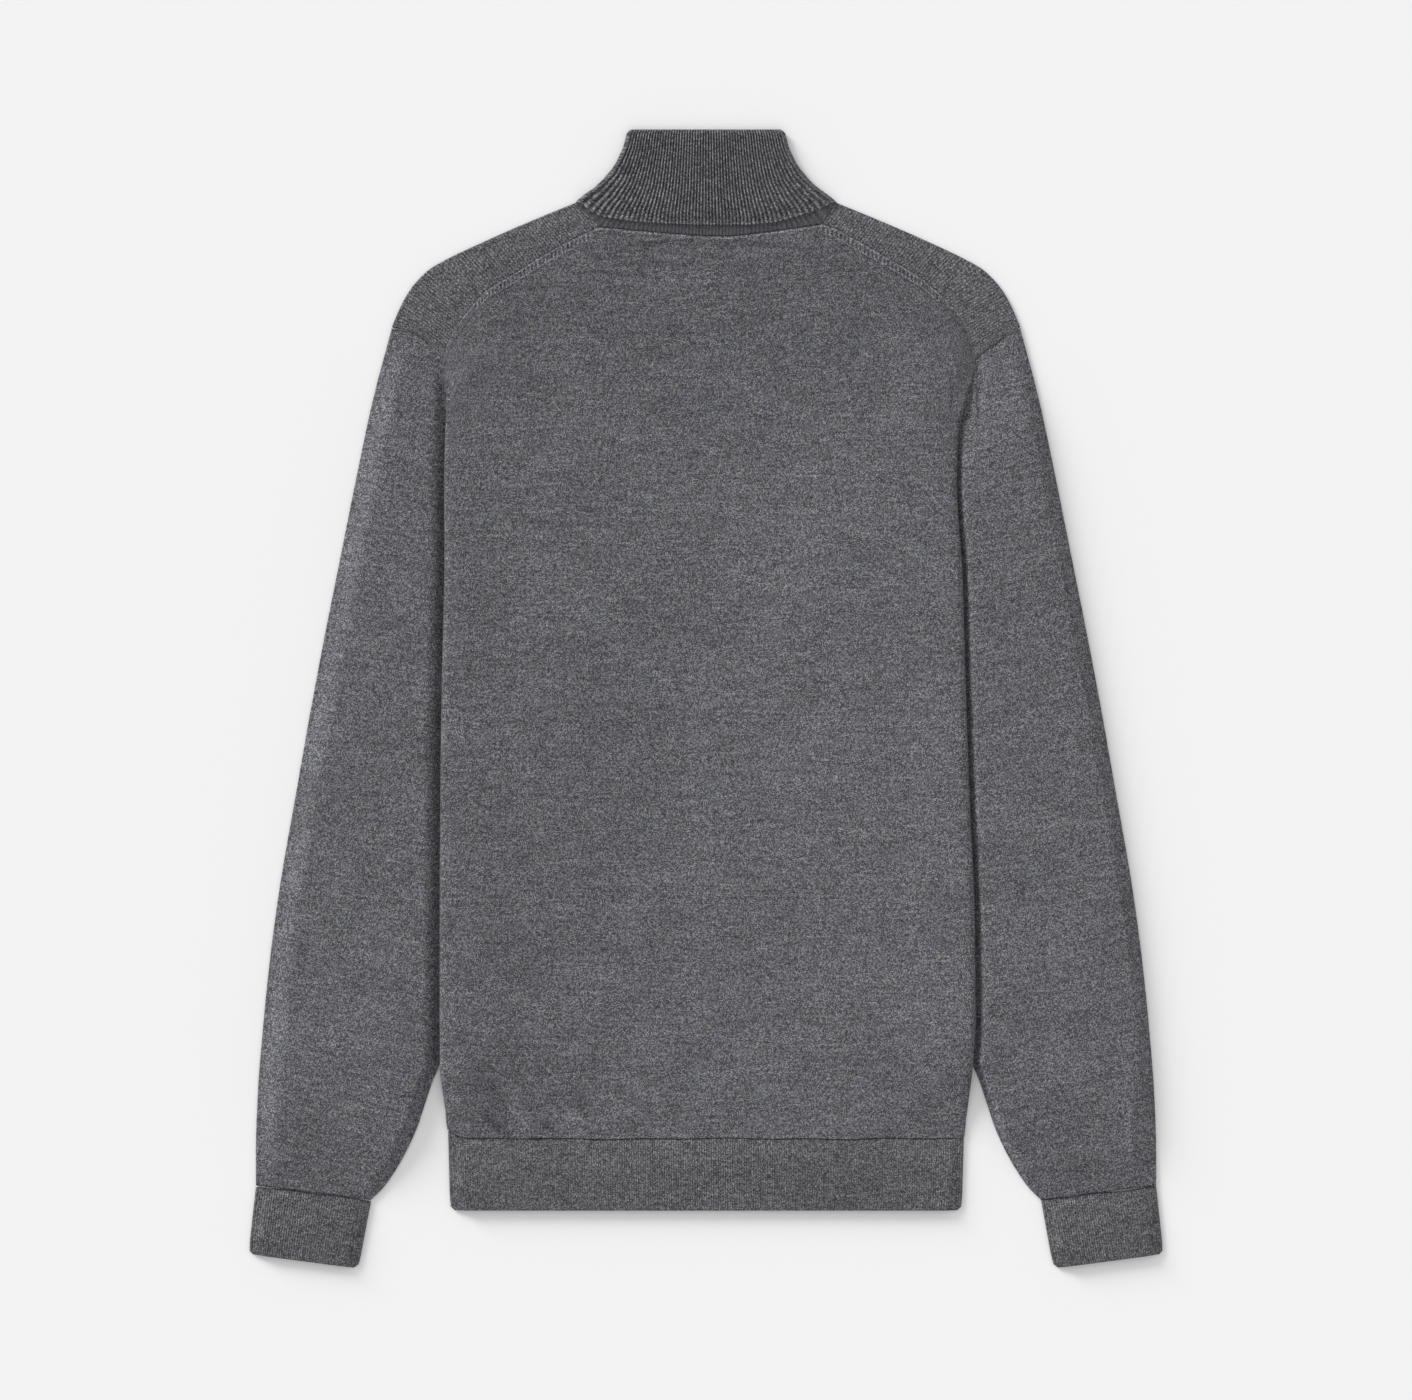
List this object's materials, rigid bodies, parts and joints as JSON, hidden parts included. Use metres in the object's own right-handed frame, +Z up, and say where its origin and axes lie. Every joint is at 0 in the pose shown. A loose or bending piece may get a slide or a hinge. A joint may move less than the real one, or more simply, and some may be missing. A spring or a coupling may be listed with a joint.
{
  "type": "roll-neck sweater",
  "caption": "Fine-knit roll-neck sweater lying flat face down, back up, with its sleeves laid down beside the body and tucked under its folded sides.",
  "frame": {"origin": "middle of the whole outline, on the surface that the sweater lies on", "axes": "+Z up, out of the wearer's back; +Y towards the collar; +X towards the wearer's right sleeve"},
  "size_m": [0.6396, 0.796, 0.0081],
  "materials": {
    "jersey": "matte grey melange fine plain knit",
    "rib": "matte grey melange fine rib knit"
  },
  "bodies": {
    "root": {"back_panel": "jersey", "front_panel": "jersey", "left_sleeve": "jersey", "right_sleeve": "jersey", "collar": "rib", "hem_band": "rib", "left_cuff": "rib", "right_cuff": "rib"}
  },
  "joints": []
}
